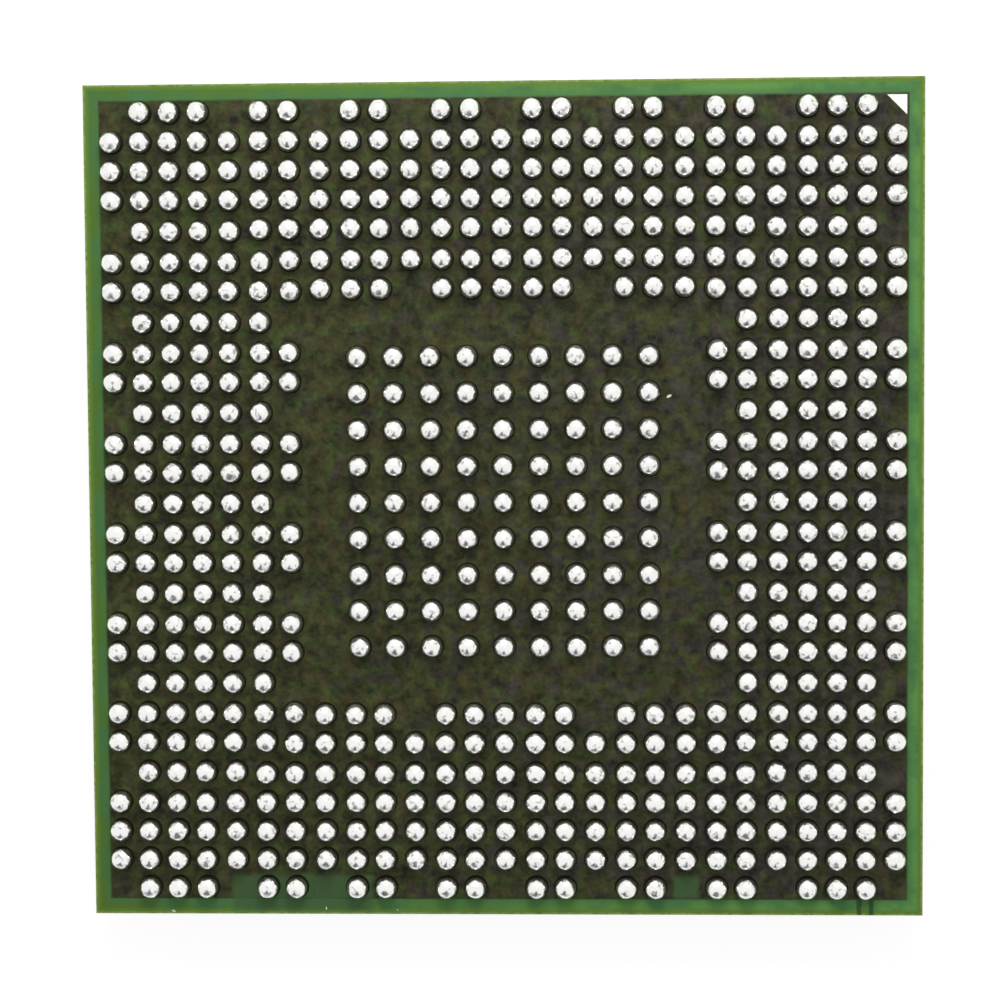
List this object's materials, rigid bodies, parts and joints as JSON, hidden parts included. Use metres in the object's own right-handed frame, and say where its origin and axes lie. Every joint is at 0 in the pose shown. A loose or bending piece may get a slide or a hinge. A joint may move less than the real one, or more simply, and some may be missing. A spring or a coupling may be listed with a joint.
{
  "type": "ball grid array package",
  "caption": "Flip-chip ball grid array package: green square substrate with a ring and a centre array of solder balls, and a bare silicon die on the other side.",
  "frame": {"origin": "middle of the footprint on the back face of the silicon die, which the part lies on", "axes": "+Z from the die towards the solder balls; the tinned index triangle is at the corner at +X +Y; rows of the ring are lettered from +Y to -Y"},
  "size_m": [0.023, 0.023, 0.0024],
  "materials": {
    "silicon": "polished back of a silicon die, dark grey-blue and mirror-like",
    "underfill": "dark grey-blue filled epoxy, satin to glossy",
    "solder_ball": "bright reflowed tin solder with faint grain",
    "solder": "satin solder",
    "ball_side_mask": "semi-gloss green solder mask, olive brown over copper and green over bare film",
    "die_side_mask": "semi-gloss green solder mask",
    "copper": "plated copper",
    "pad": "plated copper pad",
    "film": "build-up film, cut edge",
    "core": "glass-epoxy laminate, cut edge with fine weave lines",
    "plug": "hole-filling resin",
    "tinned": "bright tinned copper",
    "ink": "white marking ink",
    "capacitor": "tan ceramic",
    "capacitor_end": "tinned nickel end"
  },
  "bodies": {
    "root": {"silicon_die": "silicon", "die_bumps": "solder", "underfill": "underfill", "die_side_mask": "die_side_mask", "die_side_index": "ink", "bump_pads": "pad", "capacitor_pads": "pad", "die_side_plane": "copper", "die_side_film": "film", "die_side_inner_plane": "copper", "core": "core", "core_barrels": "copper", "barrel_plugs": "plug", "ball_side_inner_plane": "copper", "ball_side_film": "film", "ball_side_plane": "copper", "ball_pads": "pad", "plating_tails": "copper", "ball_side_mask": "ball_side_mask", "index_triangle": "tinned", "capacitor_bodies": "capacitor", "capacitor_ends": "capacitor_end", "capacitor_joints": "solder", "balls_row_a": "solder_ball", "balls_row_b": "solder_ball", "balls_row_c": "solder_ball", "balls_row_d": "solder_ball", "balls_row_e": "solder_ball", "balls_row_f": "solder_ball", "balls_row_g": "solder_ball", "balls_row_h": "solder_ball", "balls_row_j": "solder_ball", "balls_row_k": "solder_ball", "balls_row_l": "solder_ball", "balls_row_m": "solder_ball", "balls_row_n": "solder_ball", "balls_row_p": "solder_ball", "balls_row_r": "solder_ball", "balls_row_t": "solder_ball", "balls_row_u": "solder_ball", "balls_row_v": "solder_ball", "balls_row_w": "solder_ball", "balls_row_y": "solder_ball", "balls_row_aa": "solder_ball", "balls_row_ab": "solder_ball", "balls_row_ac": "solder_ball", "balls_row_ad": "solder_ball", "balls_row_ae": "solder_ball", "balls_row_af": "solder_ball", "balls_row_ag": "solder_ball", "centre_balls_row_1": "solder_ball", "centre_balls_row_2": "solder_ball", "centre_balls_row_3": "solder_ball", "centre_balls_row_4": "solder_ball", "centre_balls_row_5": "solder_ball", "centre_balls_row_6": "solder_ball", "centre_balls_row_7": "solder_ball", "centre_balls_row_8": "solder_ball", "centre_balls_row_9": "solder_ball"}
  },
  "joints": []
}
